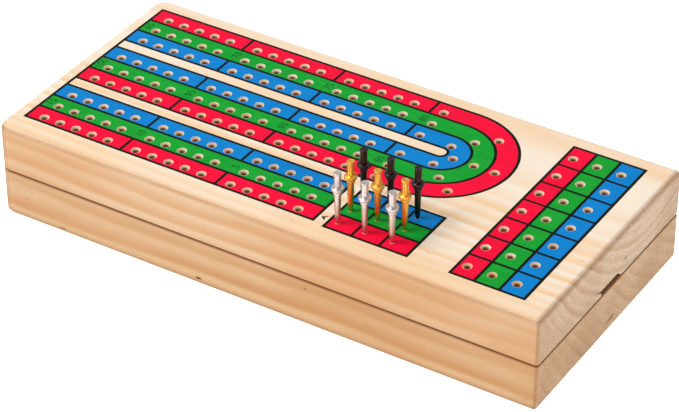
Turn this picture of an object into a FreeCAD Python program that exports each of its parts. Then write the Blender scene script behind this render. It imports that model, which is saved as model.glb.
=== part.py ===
import FreeCAD, Part
import math
import os
import Sketcher

# Folding cribbage board: two wooden halves hinged at one short end, closed flat, with the
# printed faces outside.  Nine turned metal pegs stand in the holes of the starting block.
#
# Frame: +Z up, +X towards the free end, +Y towards the back.  The origin is at the middle
# of the base.  The lower half lies with its printed face down.

DIMENSIONS = [
    # the two wooden halves
    ("board_length", 256.0),        # along X
    ("board_width", 120.0),         # along Y
    ("half_thickness", 21.3),       # each half, along Z
    ("seam_gap", 0.5),              # between the two mating faces, closed
    ("face_round", 2.8),            # radius round the upper half's printed face
    ("base_round", 1.8),            # radius round the lower half's printed face
    ("hinged_corner_round", 6.0),   # radius of the upright corners, seen from above
    ("free_corner_round", 1.6),
    ("mating_round", 0.8),          # radius round the mating face
    # peg holes, drilled and countersunk from the printed face
    ("start_bore", 1.7),            # the plain holes of the starting block, a close fit
    ("hole_bore", 2.6),             # every other hole, with a countersunk mouth
    ("hole_mouth", 3.9),
    ("hole_depth", 8.0),
    ("countersink_angle", 90.0),
    ("drill_angle", 118.0),
    ("web_under_holes", 3.2),       # wood left between a hole's end and a storage well
    # the three lanes of three tracks, in groups of holes
    ("lane_centre_y", 0.0),
    ("lane_pitch", 35.4),
    ("track_pitch", 9.75),
    ("hole_pitch", 8.08),
    ("group_pitch", 46.35),
    ("group_holes", 5),
    ("first_hole_inset", 14.3),     # from the hinged end to the first hole
    ("upper_groups", 3),
    ("lower_groups", 4),
    # the turn on the upper half
    ("turn_start", 12.3),           # from the turn's first hole to the turn's centre
    ("turn_outer_angle", 50.0),
    ("turn_middle_angle", 56.0),
    ("turn_inner_angle", 68.0),
    # the turn on the lower half
    ("big_turn_holes", 10),
    ("finish_offset", 11.0),        # from the last lane hole to the finishing hole
    # the starting block and the games block
    ("start_offset", 18.35),        # from the last lane hole to the first column
    ("start_pitch", 12.45),
    ("start_columns", 3),
    ("games_inset", 18.9),          # from the free end to the last column
    ("games_column_pitch", 10.95),
    ("games_row_pitch", 14.4),
    ("games_columns", 3),
    ("games_rows", 7),
    # storage wells, routed from the mating face of each half
    ("card_well_length", 67.0),     # along X
    ("card_well_width", 92.0),      # along Y
    ("peg_well_length", 38.0),      # along X
    ("well_wall", 8.0),             # between neighbouring wells
    ("well_corner", 5.0),
    # finger notch at the free end of the upper half
    ("notch_front_y", -8.7),
    ("notch_back_y", 5.5),
    ("notch_front_slope", 1.2),
    ("notch_back_slope", 4.2),
    ("notch_height", 3.2),
    ("notch_depth", 6.0),
    ("nick_length", 5.4),
    ("nick_rise", 2.1),
    ("nick_height", 1.3),
    ("nick_depth", 0.7),
    # butt hinges
    ("hinge_length", 30.0),         # along Y
    ("hinge_spacing", 76.0),        # between the middles of the two hinges
    ("leaf_width", 12.5),           # from the pin's axis to the edge of the leaf
    ("leaf_thickness", 0.9),
    ("knuckle_radius", 1.6),
    ("pin_radius", 0.7),
    ("pin_fixed_clearance", 0.02),
    ("pin_running_clearance", 0.06),
    ("axis_offset", 0.15),          # from the end face to the pin's axis
    ("knuckle_count", 5),
    ("knuckle_gap", 0.15),
    ("knuckle_clearance", 0.35),    # round the knuckles, in the wood and in the other leaf
    ("mortise_clearance", 0.1),
    ("pin_head_radius", 1.05),
    ("pin_head_height", 0.3),
    ("pin_head_edge", 0.09),        # the straight part of the head
    # hinge screws
    ("screw_spacing", 18.0),        # along Y
    ("screw_inset", 7.4),           # from the pin's axis
    ("screw_length", 8.0),
    ("screw_shank", 2.0),
    ("screw_head", 3.7),
    ("screw_tip", 2.0),
    ("screw_clearance", 0.05),
    ("recess_length", 2.0),
    ("recess_width", 0.45),
    ("recess_depth", 0.5),
    # closing magnets at the free end
    ("magnet_diameter", 8.0),
    ("magnet_thickness", 2.5),
    ("magnet_proud", 0.1),
    ("magnet_inset", 9.0),          # from the free end and from the sides
    ("magnet_clearance", 0.05),
    # pegs
    ("peg_length", 31.75),
    ("peg_end_clearance", 0.15),    # below the peg, in its hole
    ("peg_clearance", 0.075),       # all round, in the hole
    ("peg_tip", 0.8),
    ("peg_nose", 0.7),
    ("taper_middle", 2.04),
    ("taper_middle_rise", 1.6),
    ("taper_top", 2.4),
    ("taper_top_rise", 4.2),
    ("shank_top", 2.84),
    ("bead_rise", 14.0),            # from the board's face to the underside of the bead
    ("bead_diameter", 3.7),
    ("bead_height", 1.3),
    ("waist_diameter", 2.8),
    ("waist_height", 0.3),
    ("collar_diameter", 5.3),
    ("collar_height", 1.9),
    ("collar_slope", 0.3),
    ("peg_head", 2.9),
    ("peg_rim", 3.3),
    ("rim_height", 0.8),
    ("rim_slope", 0.3),
    ("dimple_diameter", 2.3),
    ("dimple_depth", 0.4),
    ("collar_round", 0.3),
    ("rim_round", 0.15),
]

doc = FreeCAD.newDocument("folding_board")
sheet = doc.addObject("Spreadsheet::Sheet", "Dimensions")
for row, (alias, number) in enumerate(DIMENSIONS, start=1):
    sheet.set(f"A{row}", alias)
    sheet.set(f"B{row}", str(number))
    sheet.setAlias(f"B{row}", alias)
doc.recompute()

nodes = []      # the objects that are written out, one file each


def size(alias):
    return float(sheet.get(alias))


def cell(formula):
    """Write a formula's words as references to the sheet."""
    words = formula.replace("(", " ( ").replace(")", " ) ").split()
    aliases = [alias for alias, number in DIMENSIONS]
    return " ".join("Dimensions." + word if word in aliases else word for word in words)


def bind(item, name, formula):
    item.setExpression(name, cell(formula))


def origin_plane(body, role):
    return next(feature for feature in body.Origin.OriginFeatures if feature.Role == role)


def new_body(label):
    body = doc.addObject("PartDesign::Body", label)
    body.Label = label
    return body


def new_sketch(body, name, role, height=None):
    sketch = body.newObject("Sketcher::SketchObject", body.Name + "_" + name)
    sketch.AttachmentSupport = (origin_plane(body, role), [""])
    sketch.MapMode = "FlatFace"
    if height is not None:
        bind(sketch, "AttachmentOffset.Base.z", height)
    return sketch


def pin_point(sketch, index, corner, x, y):
    """Hold one point of a sketch at two formulas, measured from the sketch's origin."""
    for kind, formula in (("DistanceX", x), ("DistanceY", y)):
        number = float(sketch.evalExpression(cell(formula)))
        made = sketch.addConstraint(Sketcher.Constraint(kind, -1, 1, index, corner, number))
        bind(sketch, f"Constraints[{made}]", formula)


def add_outline(sketch, points):
    """Draw a closed outline of straight lines through points given as pairs of formulas."""
    corners = []
    for x, y in points:
        across = float(sketch.evalExpression(cell(x)))
        up = float(sketch.evalExpression(cell(y)))
        corners.append(FreeCAD.Vector(across, up, 0))
    lines = []
    for here, there in zip(corners, corners[1:] + corners[:1]):
        lines.append(Part.LineSegment(here, there))
    made = sketch.addGeometry(lines, False)
    for this, following in zip(made, made[1:] + made[:1]):
        sketch.addConstraint(Sketcher.Constraint("Coincident", this, 2, following, 1))
    for index, (x, y) in zip(made, points):
        pin_point(sketch, index, 1, x, y)


def add_rectangle(sketch, left, front, right, back):
    add_outline(sketch, [(left, front), (right, front), (right, back), (left, back)])


def add_circle(sketch, x, y, diameter):
    middle = [float(sketch.evalExpression(cell(formula))) for formula in (x, y)]
    centre = FreeCAD.Vector(*middle, 0)
    across = float(sketch.evalExpression(cell(diameter)))
    index = sketch.addGeometry(Part.Circle(centre, FreeCAD.Vector(0, 0, 1), across / 2), False)
    pin_point(sketch, index, 3, x, y)
    made = sketch.addConstraint(Sketcher.Constraint("Diameter", index, across))
    bind(sketch, f"Constraints[{made}]", diameter)


def pad(body, sketch, name, length):
    feature = body.newObject("PartDesign::Pad", body.Name + "_" + name)
    feature.Profile = sketch
    bind(feature, "Length", length)
    return feature


def pocket(body, sketch, name, depth, reverse=False):
    """Cut a pocket and make sure that it took wood away."""
    before = body.Tip.Shape.Volume
    feature = body.newObject("PartDesign::Pocket", body.Name + "_" + name)
    feature.Profile = sketch
    feature.Reversed = reverse
    bind(feature, "Length", depth)
    doc.recompute()
    if feature.Shape.Volume >= before:
        raise RuntimeError(feature.Name + " cuts nothing")
    return feature


def fillet(body, name, radius, wanted):
    """Round the edges of the body's last feature that the test picks out."""
    base = body.Tip
    edges = []
    for number, edge in enumerate(base.Shape.Edges, start=1):
        if wanted(edge):
            edges.append(f"Edge{number}")
    feature = body.newObject("PartDesign::Fillet", body.Name + "_" + name)
    feature.Base = (base, edges)
    bind(feature, "Radius", radius)
    doc.recompute()
    return feature


def is_upright(edge):
    ends = [vertex.Point for vertex in edge.Vertexes]
    return len(ends) == 2 and (ends[0] - ends[1]).cross(FreeCAD.Vector(0, 0, 1)).Length < 1e-6


def upright_on(end):
    """Upright edges at one end: -1 is the hinged one, 1 the free one."""
    return lambda edge: is_upright(edge) and edge.Vertexes[0].X * end > 0


def lies_at(height):
    return lambda edge: all(abs(vertex.Z - height) < 1e-6 for vertex in edge.Vertexes)


# ---- where the peg holes are, in the board's own frame ----

centre_x = (size("knuckle_radius") + size("axis_offset")) / 2
hinged_end = centre_x - size("board_length") / 2
free_end = centre_x + size("board_length") / 2
first_hole = hinged_end + size("first_hole_inset")
group_span = (size("group_holes") - 1) * size("hole_pitch")
lanes = {"back": 1, "middle": 0, "front": -1}


def lane_y(lane):
    return size("lane_centre_y") + lanes[lane] * size("lane_pitch")


def lane_holes(lane, groups):
    holes = []
    for group in range(int(groups)):
        for place in range(int(size("group_holes"))):
            x = first_hole + group * size("group_pitch") + place * size("hole_pitch")
            for track in (-1, 0, 1):
                holes.append((x, lane_y(lane) + track * size("track_pitch")))
    return holes


def on_arc(centre, radius, degrees):
    angle = math.radians(degrees)
    return (centre[0] + radius * math.cos(angle), centre[1] + radius * math.sin(angle))


def upper_turn_holes():
    """Five holes in each track of the turn between the back lane and the middle lane."""
    start_x = first_hole + size("upper_groups") * size("group_pitch")
    centre = (start_x + size("turn_start"), (lane_y("back") + lane_y("middle")) / 2)
    half_lane = size("lane_pitch") / 2
    tracks = [
        (half_lane + size("track_pitch"), size("turn_outer_angle")),
        (half_lane, size("turn_middle_angle")),
        (half_lane - size("track_pitch"), size("turn_inner_angle")),
    ]
    holes = []
    for radius, angle in tracks:
        holes.append((start_x, centre[1] + radius))
        for degrees in (angle, 0, -angle):
            holes.append(on_arc(centre, radius, degrees))
        holes.append((start_x, centre[1] - radius))
    return holes


def start_holes():
    """Rows from front to back, each with its columns from left to right."""
    last_hole = first_hole + (size("upper_groups") - 1) * size("group_pitch") + group_span
    rows = []
    for track in (-1, 0, 1):
        y = lane_y("front") + track * size("track_pitch")
        columns = range(int(size("start_columns")))
        rows.append([(last_hole + size("start_offset") + n * size("start_pitch"), y) for n in columns])
    return rows


def games_holes():
    holes = []
    for column in range(int(size("games_columns"))):
        x = free_end - size("games_inset") - column * size("games_column_pitch")
        for row in range(int(size("games_rows"))):
            step = row - (size("games_rows") - 1) / 2
            holes.append((x, size("lane_centre_y") + step * size("games_row_pitch")))
    return holes


def lower_turn_holes():
    """The large turn between the front lane and the back lane."""
    last_hole = first_hole + (size("lower_groups") - 1) * size("group_pitch") + group_span
    half_gap = (size("group_pitch") - group_span) / 2
    centre = (last_hole + half_gap, size("lane_centre_y"))
    count = int(size("big_turn_holes"))
    step = 180 / count
    holes = []
    for track in (-1, 0, 1):
        radius = size("lane_pitch") + track * size("track_pitch")
        for place in range(count):
            holes.append(on_arc(centre, radius, -90 + (place + 0.5) * step))
    return holes


def finish_hole():
    last_hole = first_hole + (size("lower_groups") - 1) * size("group_pitch") + group_span
    return [(last_hole + size("finish_offset"), size("lane_centre_y"))]


def upper_holes():
    holes = upper_turn_holes() + games_holes()
    for lane in lanes:
        holes += lane_holes(lane, size("upper_groups"))
    return holes


def lower_holes():
    holes = lower_turn_holes() + finish_hole()
    for lane in lanes:
        holes += lane_holes(lane, size("lower_groups"))
    return holes


# ---- the wooden halves ----
# Each half is made in its own frame, mating face at z = 0 and printed face up, and the
# lower one is then turned over about X.

MIDDLE_X = "( knuckle_radius + axis_offset ) / 2"
HINGED_END = MIDDLE_X + " - board_length / 2"
FREE_END = MIDDLE_X + " + board_length / 2"
AXIS_X = HINGED_END + " - axis_offset"
WELL_DEPTH = "half_thickness - hole_depth - web_under_holes"


def blank(body, face_radius):
    sketch = new_sketch(body, "outline", "XY_Plane")
    add_rectangle(sketch, HINGED_END, "- board_width / 2", FREE_END, "board_width / 2")
    pad(body, sketch, "blank", "half_thickness")
    doc.recompute()
    fillet(body, "hinged_corners", "hinged_corner_round", upright_on(-1))
    fillet(body, "face_edges", face_radius, lies_at(size("half_thickness")))
    fillet(body, "free_corners", "free_corner_round", upright_on(1))
    fillet(body, "mating_edges", "mating_round", lies_at(0))


def wells(body):
    """Two card wells with a peg well between them."""
    inner = "peg_well_length / 2 + well_wall"
    outer = f"{inner} + card_well_length"
    half = "card_well_width / 2"
    sketch = new_sketch(body, "wells_outline", "XY_Plane")
    for left, right in (
        (f"{MIDDLE_X} - peg_well_length / 2", f"{MIDDLE_X} + peg_well_length / 2"),
        (f"{MIDDLE_X} + {inner}", f"{MIDDLE_X} + {outer}"),
        (f"{MIDDLE_X} - ( {outer} )", f"{MIDDLE_X} - ( {inner} )"),
    ):
        add_rectangle(sketch, left, f"- {half}", right, half)
    pocket(body, sketch, "wells", WELL_DEPTH, reverse=True)
    wall = size("card_well_width") / 2

    def is_well_corner(edge):
        return is_upright(edge) and abs(abs(edge.Vertexes[0].Y) - wall) < 1e-6

    fillet(body, "well_corners", "well_corner", is_well_corner)


def hinge_mortises(body):
    leaves = new_sketch(body, "leaf_outline", "XY_Plane")
    barrels = new_sketch(body, "barrel_outline", "XY_Plane")
    pilots = new_sketch(body, "pilot_outline", "XY_Plane")
    for side in ("-", "+"):
        middle = f"0 {side} hinge_spacing / 2"
        front = f"{middle} - hinge_length / 2 - mortise_clearance"
        back = f"{middle} + hinge_length / 2 + mortise_clearance"
        beyond = f"{HINGED_END} - face_round"
        add_rectangle(leaves, beyond, front, f"{AXIS_X} + leaf_width + mortise_clearance", back)
        front += " - pin_head_height"
        back += " + pin_head_height"
        add_rectangle(barrels, beyond, front, f"{AXIS_X} + knuckle_radius + knuckle_clearance", back)
        for place in ("-", "+"):
            add_circle(pilots, f"{AXIS_X} + screw_inset", f"{middle} {place} screw_spacing / 2",
                       "screw_shank + 2 * screw_clearance")
    pocket(body, leaves, "leaf_mortises", "leaf_thickness", reverse=True)
    barrel_depth = "knuckle_radius + knuckle_clearance - seam_gap / 2"
    pocket(body, barrels, "barrel_mortises", barrel_depth, reverse=True)
    pocket(body, pilots, "pilot_holes", "screw_length + screw_clearance", reverse=True)


def magnet_pockets(body):
    sketch = new_sketch(body, "magnet_outline", "XY_Plane")
    for side in ("-", "+"):
        add_circle(sketch, f"{FREE_END} - magnet_inset", f"0 {side} ( board_width / 2 - magnet_inset )",
                   "magnet_diameter + 2 * magnet_clearance")
    pocket(body, sketch, "magnet_pockets", "magnet_thickness - magnet_proud", reverse=True)


def finger_notch(body):
    """A shallow notch across the lower edge of the free end, with a torn nick at its front."""
    notch = new_sketch(body, "notch_outline", "YZ_Plane", FREE_END)
    below = "- face_round"
    add_outline(notch, [
        ("notch_front_y + notch_front_slope", below),
        ("notch_back_y + notch_back_slope", below),
        ("notch_back_y + notch_back_slope", "0"),
        ("notch_back_y", "notch_height"),
        ("notch_front_y", "notch_height"),
        ("notch_front_y + notch_front_slope", "0"),
    ])
    pocket(body, notch, "notch", "notch_depth")
    nick = new_sketch(body, "nick_outline", "YZ_Plane", FREE_END)
    add_outline(nick, [
        ("notch_front_y", "notch_height"),
        ("notch_front_y - nick_length", "notch_height + nick_rise"),
        ("notch_front_y + notch_front_slope / 2", "notch_height - nick_height"),
    ])
    pocket(body, nick, "nick", "nick_depth")


def peg_holes(body, name, holes, bore, mouth=None):
    """Blind holes in the printed face, countersunk where a mouth is given."""
    sketch = new_sketch(body, name + "_centres", "XY_Plane", "half_thickness")
    up = FreeCAD.Vector(0, 0, 1)
    circles = [Part.Circle(FreeCAD.Vector(x, y, 0), up, size(bore) / 2) for x, y in holes]
    sketch.addGeometry(circles, False)
    doc.recompute()
    before = body.Tip.Shape.Volume
    feature = body.newObject("PartDesign::Hole", body.Name + "_" + name)
    feature.Profile = sketch
    feature.DepthType = "Dimension"
    feature.DrillPoint = "Angled"
    if mouth:
        feature.HoleCutType = "Countersink"
        feature.HoleCutCustomValues = True
        bind(feature, "HoleCutDiameter", mouth)
        bind(feature, "HoleCutCountersinkAngle", "countersink_angle")
    bind(feature, "Diameter", bore)
    bind(feature, "Depth", "hole_depth")
    bind(feature, "DrillPointAngle", "drill_angle")
    doc.recompute()
    if feature.Shape.Volume >= before:
        raise RuntimeError(feature.Name + " cuts nothing")


def wooden_half(label, holes, placement, with_notch, with_start=False):
    body = new_body(label)
    blank(body, "face_round" if with_notch else "base_round")
    wells(body)
    hinge_mortises(body)
    magnet_pockets(body)
    if with_notch:
        finger_notch(body)
    peg_holes(body, "peg_holes", holes, "hole_bore", "hole_mouth")
    if with_start:
        peg_holes(body, "start_holes", sum(start_holes(), []), "start_bore")
    body.Placement = placement
    nodes.append(body)
    return body


# ---- hinges ----
# A hinge is made about its own pin, with the leaves reaching towards +X.

def leaf(label, knuckles, plate_side, fit, placement):
    """One leaf: a plate with the knuckles whose numbers are given, bored for the pin."""
    body = new_body(label)
    up = "" if plate_side > 0 else "- "
    near = f"{up}seam_gap / 2"
    far = f"{up}( seam_gap / 2 + leaf_thickness )"
    pitch = "( hinge_length + knuckle_gap ) / knuckle_count"
    plate = new_sketch(body, "plate_outline", "XZ_Plane", "- hinge_length / 2")
    add_rectangle(plate, "0", near, "leaf_width", far)
    pad(body, plate, "plate", "hinge_length")
    doc.recompute()
    gaps = new_sketch(body, "gap_outline", "XY_Plane")
    for number in range(int(size("knuckle_count"))):
        if number not in knuckles:
            front = f"- hinge_length / 2 + {number} * {pitch} - knuckle_gap"
            back = f"- hinge_length / 2 + {number + 1} * {pitch}"
            add_rectangle(gaps, "- knuckle_radius", front, "knuckle_radius + knuckle_clearance", back)
    cut = body.newObject("PartDesign::Pocket", body.Name + "_gaps")
    cut.Profile = gaps
    cut.Type = "ThroughAll"
    cut.Midplane = True
    doc.recompute()
    for number in knuckles:
        start = f"- hinge_length / 2 + {number} * {pitch}"
        far_end = f"- ( {start} ) - ( {pitch} - knuckle_gap )"
        ring = new_sketch(body, f"knuckle_{number}_outline", "XZ_Plane", far_end)
        add_circle(ring, "0", "0", "2 * knuckle_radius")
        pad(body, ring, f"knuckle_{number}", f"{pitch} - knuckle_gap")
        doc.recompute()
    bore = new_sketch(body, "bore_outline", "XZ_Plane")
    add_circle(bore, "0", "0", f"2 * ( pin_radius + {fit} )")
    through = body.newObject("PartDesign::Pocket", body.Name + "_bore")
    through.Profile = bore
    through.Type = "ThroughAll"
    through.Midplane = True
    doc.recompute()
    seats = new_sketch(body, "screw_seats", "XY_Plane", near)
    for place in ("-", "+"):
        add_circle(seats, "screw_inset", f"0 {place} screw_spacing / 2",
                   "screw_shank + 2 * screw_clearance")
    doc.recompute()
    hole = body.newObject("PartDesign::Hole", body.Name + "_screw_holes")
    hole.Profile = seats
    hole.DepthType = "ThroughAll"
    hole.HoleCutType = "Countersink"
    hole.HoleCutCustomValues = True
    hole.Reversed = plate_side > 0
    bind(hole, "Diameter", "screw_shank + 2 * screw_clearance")
    bind(hole, "HoleCutDiameter", "screw_head + 2 * screw_clearance")
    bind(hole, "HoleCutCountersinkAngle", "countersink_angle")
    doc.recompute()
    body.Placement = placement
    nodes.append(body)
    return body


def hinge_pin(label, placement):
    """A plain pin with a slightly domed head at each end."""
    body = new_body(label)
    sketch = new_sketch(body, "profile", "XY_Plane")
    end = "hinge_length / 2"
    add_outline(sketch, [
        ("0", f"- {end} - pin_head_height"),
        ("pin_radius", f"- {end} - pin_head_height"),
        ("pin_head_radius", f"- {end} - pin_head_edge"),
        ("pin_head_radius", f"- {end}"),
        ("pin_radius", f"- {end}"),
        ("pin_radius", end),
        ("pin_head_radius", end),
        ("pin_head_radius", f"{end} + pin_head_edge"),
        ("pin_radius", f"{end} + pin_head_height"),
        ("0", f"{end} + pin_head_height"),
    ])
    turned = body.newObject("PartDesign::Revolution", body.Name + "_turned")
    turned.Profile = sketch
    turned.ReferenceAxis = (sketch, ["V_Axis"])
    turned.Angle = 360
    body.Placement = placement
    nodes.append(body)


def screw_blank():
    """A countersunk wood screw with a cross recess, head at z = 0, pointing down."""
    body = new_body("screw_blank")
    sketch = new_sketch(body, "profile", "XZ_Plane")
    slope = "( screw_head - screw_shank ) / 2"
    add_outline(sketch, [
        ("0", "0"),
        ("screw_head / 2", "0"),
        ("screw_shank / 2", f"- {slope}"),
        ("screw_shank / 2", "- screw_length + screw_tip"),
        ("0", "- screw_length"),
    ])
    turned = body.newObject("PartDesign::Revolution", body.Name + "_turned")
    turned.Profile = sketch
    turned.ReferenceAxis = (sketch, ["V_Axis"])
    turned.Angle = 360
    doc.recompute()
    recess = new_sketch(body, "recess_outline", "XY_Plane")
    long_half = "recess_length / 2"
    short_half = "recess_width / 2"
    add_outline(recess, [
        (long_half, f"- {short_half}"), (long_half, short_half),
        (short_half, short_half), (short_half, long_half),
        (f"- {short_half}", long_half), (f"- {short_half}", short_half),
        (f"- {long_half}", short_half), (f"- {long_half}", f"- {short_half}"),
        (f"- {short_half}", f"- {short_half}"), (f"- {short_half}", f"- {long_half}"),
        (short_half, f"- {long_half}"), (short_half, f"- {short_half}"),
    ])
    pocket(body, recess, "recess", "recess_depth")
    return body


def screw_group(label, master, height, pointing_up):
    """The four screws of one half's hinge leaves, as separate solids in one node."""
    turn = FreeCAD.Rotation(FreeCAD.Vector(1, 0, 0), 180 if pointing_up else 0)
    x = hinged_end - size("axis_offset") + size("screw_inset")
    screws = []
    for hinge in (-1, 1):
        for end in (-1, 1):
            y = hinge * size("hinge_spacing") / 2 + end * size("screw_spacing") / 2
            seat = FreeCAD.Placement(FreeCAD.Vector(x, y, height), turn)
            screw = master.Tip.Shape.copy()
            screw.Placement = seat.multiply(screw.Placement)
            screws.append(screw)
    group = doc.addObject("Part::Feature", label)
    group.Label = label
    group.Shape = Part.Compound(screws)
    nodes.append(group)


# ---- magnets ----

def magnet(label, side, in_upper):
    disc = doc.addObject("Part::Cylinder", label)
    disc.Label = label
    bind(disc, "Radius", "magnet_diameter / 2")
    bind(disc, "Height", "magnet_thickness")
    bind(disc, "Placement.Base.x", f"{FREE_END} - magnet_inset")
    bind(disc, "Placement.Base.y", f"{side} * ( board_width / 2 - magnet_inset )")
    if in_upper:
        bind(disc, "Placement.Base.z", "half_thickness + seam_gap - magnet_proud")
    else:
        bind(disc, "Placement.Base.z", "half_thickness + magnet_proud - magnet_thickness")
    nodes.append(disc)


# ---- pegs ----

def peg(label, x, y):
    """A turned metal peg standing in the hole at x, y."""
    body = new_body(label)
    sketch = new_sketch(body, "profile", "XZ_Plane")
    pin = "( start_bore / 2 - peg_clearance )"
    face = "( hole_depth - peg_end_clearance )"
    bead_top = f"{face} + bead_rise + bead_height"
    collar_low = f"{bead_top} + waist_height"
    collar_top = f"{collar_low} + collar_height"
    add_outline(sketch, [
        ("0", "0"),
        ("peg_tip / 2", "0"),
        (pin, "peg_nose"),
        (pin, face),
        ("taper_middle / 2", f"{face} + taper_middle_rise"),
        ("taper_top / 2", f"{face} + taper_top_rise"),
        ("shank_top / 2", f"{face} + bead_rise"),
        ("bead_diameter / 2", f"{face} + bead_rise"),
        ("bead_diameter / 2", bead_top),
        ("waist_diameter / 2", bead_top),
        ("waist_diameter / 2", collar_low),
        ("collar_diameter / 2", f"{collar_low} + collar_slope"),
        ("collar_diameter / 2", f"{collar_top} - collar_slope"),
        ("peg_head / 2", collar_top),
        ("peg_head / 2", "peg_length - rim_height"),
        ("peg_rim / 2", "peg_length - rim_height + rim_slope"),
        ("peg_rim / 2", "peg_length"),
        ("dimple_diameter / 2", "peg_length"),
        ("0", "peg_length - dimple_depth"),
    ])
    turned = body.newObject("PartDesign::Revolution", body.Name + "_turned")
    turned.Profile = sketch
    turned.ReferenceAxis = (sketch, ["V_Axis"])
    turned.Angle = 360
    doc.recompute()
    bead = size("bead_diameter") / 2
    collar = size("collar_diameter") / 2
    rim = size("peg_rim") / 2

    def is_at_radius(*radii):
        def test(edge):
            if not isinstance(edge.Curve, Part.Circle):
                return False
            return any(abs(edge.Curve.Radius - radius) < 1e-6 for radius in radii)
        return test

    fillet(body, "collar_edges", "collar_round", is_at_radius(bead, collar))
    fillet(body, "rim_edges", "rim_round", is_at_radius(rim))
    base = size("half_thickness") * 2 + size("seam_gap") - size("hole_depth") + size("peg_end_clearance")
    body.Placement = FreeCAD.Placement(FreeCAD.Vector(x, y, base), FreeCAD.Rotation())
    nodes.append(body)


# ---- the whole board ----

turned_over = FreeCAD.Placement(
    FreeCAD.Vector(0, 0, size("half_thickness")),
    FreeCAD.Rotation(FreeCAD.Vector(1, 0, 0), 180),
)
raised = FreeCAD.Placement(
    FreeCAD.Vector(0, 0, size("half_thickness") + size("seam_gap")),
    FreeCAD.Rotation(),
)
wooden_half("lower_board", [(x, -y) for x, y in lower_holes()], turned_over, with_notch=False)
wooden_half("upper_board", upper_holes(), raised, with_notch=True, with_start=True)

axis_x = hinged_end - size("axis_offset")
axis_z = size("half_thickness") + size("seam_gap") / 2
fixed_knuckles = list(range(0, int(size("knuckle_count")), 2))
moving_knuckles = list(range(1, int(size("knuckle_count")), 2))
for name, side in (("front", -1), ("back", 1)):
    place = FreeCAD.Placement(
        FreeCAD.Vector(axis_x, side * size("hinge_spacing") / 2, axis_z), FreeCAD.Rotation())
    leaf(f"{name}_hinge_lower_leaf", fixed_knuckles, -1, "pin_fixed_clearance", place)
    leaf(f"{name}_hinge_upper_leaf", moving_knuckles, 1, "pin_running_clearance", place)
    hinge_pin(f"{name}_hinge_pin", place)

screw = screw_blank()
doc.recompute()
screw_group("hinge_screws_lower", screw, size("half_thickness"), pointing_up=False)
screw_group("hinge_screws_upper", screw, size("half_thickness") + size("seam_gap"), pointing_up=True)

for name, side in (("front", -1), ("back", 1)):
    magnet(f"{name}_magnet_lower", side, in_upper=False)
    magnet(f"{name}_magnet_upper", side, in_upper=True)

for finish, row in zip(("silver", "gold", "black"), start_holes()):
    for number, (x, y) in enumerate(row, start=1):
        peg(f"{finish}_peg_{number}", x, y)

doc.recompute()

for item in doc.Objects:
    if "Invalid" in item.State or "Error" in item.State:
        raise RuntimeError(f"{item.Name} failed: {item.State}")
for node in nodes:
    if node.Shape.isNull() or not node.Shape.isValid():
        raise RuntimeError(f"{node.Label} has no valid shape")

os.makedirs("parts", exist_ok=True)
for node in nodes:
    node.Shape.exportStep(os.path.join("parts", node.Label + ".step"))
    print(f"{node.Label}: {node.Shape.Volume:.1f} mm3, {len(node.Shape.Solids)} solid(s)")
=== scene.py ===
import math
import random

import bpy
import numpy as np
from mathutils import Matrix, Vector
from mathutils.geometry import delaunay_2d_cdt
from mathutils.kdtree import KDTree


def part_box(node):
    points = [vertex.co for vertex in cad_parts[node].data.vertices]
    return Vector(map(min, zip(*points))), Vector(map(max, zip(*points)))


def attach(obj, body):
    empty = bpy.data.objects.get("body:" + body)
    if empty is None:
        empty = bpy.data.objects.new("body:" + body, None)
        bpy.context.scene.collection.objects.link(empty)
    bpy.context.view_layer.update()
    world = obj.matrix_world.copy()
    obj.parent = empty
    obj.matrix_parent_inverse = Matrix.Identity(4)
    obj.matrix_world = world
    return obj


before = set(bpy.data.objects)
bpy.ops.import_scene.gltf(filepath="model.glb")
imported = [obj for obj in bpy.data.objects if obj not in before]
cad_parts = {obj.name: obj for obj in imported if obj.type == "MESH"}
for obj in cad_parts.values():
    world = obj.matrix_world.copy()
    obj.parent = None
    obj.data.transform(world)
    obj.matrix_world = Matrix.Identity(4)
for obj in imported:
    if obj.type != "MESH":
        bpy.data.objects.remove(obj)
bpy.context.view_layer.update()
mm = 0.001
rng = random.Random(21)


# small helpers for shader nodes

def tint(red, green, blue):
    # screen values 0-255 to the linear numbers that the sockets want
    shares = [channel / 255 for channel in (red, green, blue)]
    linear = [s / 12.92 if s <= 0.04045 else ((s + 0.055) / 1.055) ** 2.4 for s in shares]
    return (*linear, 1.0)


def plug(tree, value, socket):
    if isinstance(value, bpy.types.NodeSocket):
        tree.links.new(value, socket)
    else:
        socket.default_value = value


def addNode(tree, kind, inputs=None, **settings):
    made = tree.nodes.new("ShaderNode" + kind)
    for key, value in settings.items():
        setattr(made, key, value)
    for key, value in (inputs or {}).items():
        plug(tree, value, made.inputs[key])
    return made


def calc(tree, operation, first, second=0.0, clamp=False):
    made = addNode(tree, "Math", {0: first, 1: second}, operation=operation, use_clamp=clamp)
    return made.outputs[0]


def vecCalc(tree, operation, first, second=(0.0, 0.0, 0.0)):
    made = addNode(tree, "VectorMath", {0: first, 1: second}, operation=operation)
    return made.outputs["Value" if operation == "LENGTH" else "Vector"]


def vecScale(tree, vector, factor):
    made = addNode(tree, "VectorMath", {"Vector": vector, "Scale": factor}, operation="SCALE")
    return made.outputs["Vector"]


def remap(tree, value, low, high, newLow=0.0, newHigh=1.0, smooth=True):
    made = addNode(
        tree, "MapRange",
        {"Value": value, "From Min": low, "From Max": high, "To Min": newLow, "To Max": newHigh},
        interpolation_type="SMOOTHSTEP" if smooth else "LINEAR",
    )
    return made.outputs["Result"]


def mixColor(tree, factor, first, second, mode="MIX"):
    made = addNode(tree, "Mix", data_type="RGBA", blend_type=mode)
    plug(tree, factor, made.inputs[0])
    plug(tree, first, made.inputs[6])
    plug(tree, second, made.inputs[7])
    return made.outputs[2]


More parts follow.
